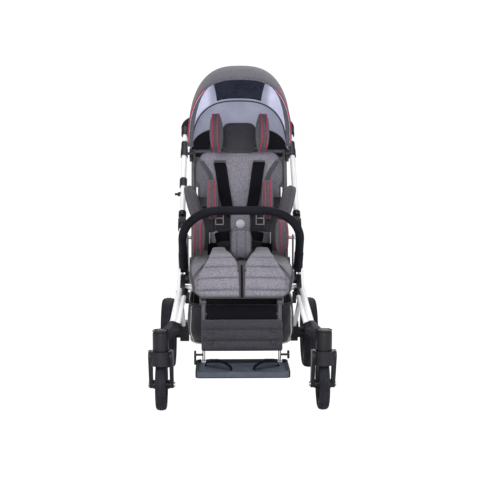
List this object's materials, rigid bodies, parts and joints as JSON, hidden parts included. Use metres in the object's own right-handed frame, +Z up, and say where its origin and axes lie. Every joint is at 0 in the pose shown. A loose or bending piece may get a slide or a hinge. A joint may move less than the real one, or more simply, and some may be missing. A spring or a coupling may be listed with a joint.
{
  "type": "special needs buggy",
  "caption": "Folding special needs buggy with a tilting padded seat, headrest, trunk and hip pads, canopy, bumper bar, leg rest, footplate and swivel casters.",
  "frame": {"origin": "on the floor under the middle of the bounding box", "axes": "+Z up, the front faces -Y, +X is the right side seen from the front"},
  "size_m": [0.666, 1.0641, 1.2297],
  "materials": {
    "white_paint": "gloss",
    "black_plastic": "satin",
    "tyre": "matt",
    "rim_plastic": "satin",
    "black_foam": "matt",
    "steel": "brushed",
    "dark_metal": "satin",
    "grey_fabric": "woven melange",
    "dark_fabric": "woven melange",
    "webbing": "woven",
    "canopy_fabric": "woven melange",
    "slate_plastic": "satin"
  },
  "bodies": {
    "chassis": {"main_tubes": "white_paint", "front_struts": "white_paint", "pivot_blocks": "black_plastic", "cross_tube": "white_paint", "caster_housing_left": "black_plastic", "caster_housing_right": "black_plastic", "fold_sockets": "black_plastic", "basket": "dark_fabric"},
    "rear_frame": {"rear_legs": "white_paint", "rear_axle_beam": "steel", "rear_fittings": "black_plastic"},
    "rear_wheel_left": {"rear_tyre_left": "tyre", "rear_rim_left": "rim_plastic"},
    "rear_wheel_right": {"rear_tyre_right": "tyre", "rear_rim_right": "rim_plastic"},
    "brake": {"brake_bar": "black_plastic"},
    "caster_left": {"caster_fork_left": "black_plastic", "caster_axle_left": "steel"},
    "caster_right": {"caster_fork_right": "black_plastic", "caster_axle_right": "steel"},
    "front_wheel_left": {"front_tyre_left": "tyre", "front_rim_left": "rim_plastic"},
    "front_wheel_right": {"front_tyre_right": "tyre", "front_rim_right": "rim_plastic"},
    "push_frame": {"push_tubes": "white_paint", "push_fittings": "black_plastic", "tube_clamp": "black_plastic"},
    "handle": {"handle_bar": "white_paint", "handle_grip": "black_foam", "handle_fittings": "black_plastic"},
    "seat": {"seat_frame": "dark_metal", "seat_pan": "black_plastic", "seat_cushion": "grey_fabric", "seat_mounts": "black_plastic", "bumper_sockets": "black_plastic", "hip_belt": "webbing", "belly_pad": "grey_fabric"},
    "hip_left": {"hip_pad_left": "grey_fabric"},
    "hip_right": {"hip_pad_right": "grey_fabric"},
    "pommel": {"pommel": "grey_fabric"},
    "bumper": {"bumper_bar": "black_foam"},
    "backrest": {"back_frame": "dark_metal", "back_cushion": "grey_fabric", "side_wings": "grey_fabric", "harness": "webbing", "canopy_mounts": "black_plastic", "canopy_rear": "canopy_fabric"},
    "canopy_front": {"canopy_front": "canopy_fabric"},
    "headrest": {"head_pad": "grey_fabric"},
    "head_wing_left": {"head_wing_left": "grey_fabric"},
    "head_wing_right": {"head_wing_right": "grey_fabric"},
    "trunk_left": {"trunk_pad_left": "grey_fabric"},
    "trunk_right": {"trunk_pad_right": "grey_fabric"},
    "legrest": {"legrest_frame": "dark_metal", "calf_pad": "dark_fabric", "snap_studs": "black_plastic"},
    "foot_tubes": {"footrest_tubes": "steel", "footrest_knobs": "black_plastic"},
    "footplate": {"footplate": "slate_plastic", "foot_straps": "webbing"}
  },
  "joints": [
    {"name": "caster_swivel_left", "type": "hinge", "parent": "chassis", "child": "caster_left", "pos_m": [-0.285, -0.44435, 0.24], "axis": [0, 0, 1], "continuous": true},
    {"name": "front_spin_left", "type": "hinge", "parent": "caster_left", "child": "front_wheel_left", "pos_m": [-0.285, -0.40935, 0.092], "axis": [1, 0, 0], "continuous": true},
    {"name": "caster_swivel_right", "type": "hinge", "parent": "chassis", "child": "caster_right", "pos_m": [0.285, -0.44435, 0.24], "axis": [0, 0, 1], "continuous": true},
    {"name": "front_spin_right", "type": "hinge", "parent": "caster_right", "child": "front_wheel_right", "pos_m": [0.285, -0.40935, 0.092], "axis": [1, 0, 0], "continuous": true},
    {"name": "frame_fold", "type": "hinge", "parent": "chassis", "child": "rear_frame", "pos_m": [0, -0.15435, 0.37], "axis": [-1, 0, 0], "range_deg": [0, 52]},
    {"name": "rear_spin_left", "type": "hinge", "parent": "rear_frame", "child": "rear_wheel_left", "pos_m": [-0.29, 0.21065, 0.145], "axis": [1, 0, 0], "continuous": true},
    {"name": "rear_spin_right", "type": "hinge", "parent": "rear_frame", "child": "rear_wheel_right", "pos_m": [0.29, 0.21065, 0.145], "axis": [1, 0, 0], "continuous": true},
    {"name": "brake_press", "type": "hinge", "parent": "rear_frame", "child": "brake", "pos_m": [0, 0.22865, 0.181], "axis": [-1, 0, 0], "range_deg": [0, 20]},
    {"name": "push_fold", "type": "hinge", "parent": "chassis", "child": "push_frame", "pos_m": [0, 0.07034, 0.62083], "axis": [-1, 0, 0], "range_deg": [0, 104]},
    {"name": "handle_height", "type": "slide", "parent": "push_frame", "child": "handle", "axis": [0, 0.7431, 0.6691], "range_m": [0, 0.12]},
    {"name": "seat_tilt", "type": "hinge", "parent": "chassis", "child": "seat", "pos_m": [0, -0.14443, 0.42745], "axis": [-1, 0, 0], "range_deg": [0, 20]},
    {"name": "hip_width_left", "type": "slide", "parent": "seat", "child": "hip_left", "axis": [1, 0, 0], "range_m": [0, 0.012]},
    {"name": "hip_width_right", "type": "slide", "parent": "seat", "child": "hip_right", "axis": [-1, 0, 0], "range_m": [0, 0.012]},
    {"name": "pommel_lift", "type": "slide", "parent": "seat", "child": "pommel", "axis": [0, 0, 1], "range_m": [0, 0.07]},
    {"name": "bumper_swing", "type": "hinge", "parent": "seat", "child": "bumper", "pos_m": [0, -0.16335, 0.47], "axis": [1, 0, 0], "range_deg": [0, 70]},
    {"name": "back_recline", "type": "hinge", "parent": "seat", "child": "backrest", "pos_m": [0, 0.04065, 0.47], "axis": [-1, 0, 0], "range_deg": [0, 25]},
    {"name": "canopy_fold", "type": "hinge", "parent": "backrest", "child": "canopy_front", "pos_m": [0, 0.13077, 0.88721], "axis": [-1, 0, 0], "range_deg": [0, 60]},
    {"name": "head_height", "type": "slide", "parent": "backrest", "child": "headrest", "axis": [0, 0.3007, 0.9537], "range_m": [0, 0.05]},
    {"name": "head_wing_left_swing", "type": "hinge", "parent": "headrest", "child": "head_wing_left", "pos_m": [-0.084, 0.17609, 0.94946], "axis": [0, -0.3007, -0.9537], "range_deg": [0, 20]},
    {"name": "head_wing_right_swing", "type": "hinge", "parent": "headrest", "child": "head_wing_right", "pos_m": [0.084, 0.17609, 0.94946], "axis": [0, 0.3007, 0.9537], "range_deg": [0, 20]},
    {"name": "trunk_height_left", "type": "slide", "parent": "backrest", "child": "trunk_left", "axis": [0, 0.3007, 0.9537], "range_m": [0, 0.05]},
    {"name": "trunk_height_right", "type": "slide", "parent": "backrest", "child": "trunk_right", "axis": [0, 0.3007, 0.9537], "range_m": [0, 0.05]},
    {"name": "legrest_angle", "type": "hinge", "parent": "seat", "child": "legrest", "pos_m": [0, -0.29735, 0.366], "axis": [-1, 0, 0], "range_deg": [0, 65]},
    {"name": "footrest_height", "type": "slide", "parent": "legrest", "child": "foot_tubes", "axis": [0, -0.1564, -0.9877], "range_m": [0, 0.05]},
    {"name": "footplate_flip", "type": "hinge", "parent": "foot_tubes", "child": "footplate", "pos_m": [0, -0.33099, 0.15365], "axis": [-1, 0, 0], "range_deg": [0, 40]}
  ],
  "couplings": [
    {"joint": "push_fold", "follows": "frame_fold", "ratio": 2}
  ]
}
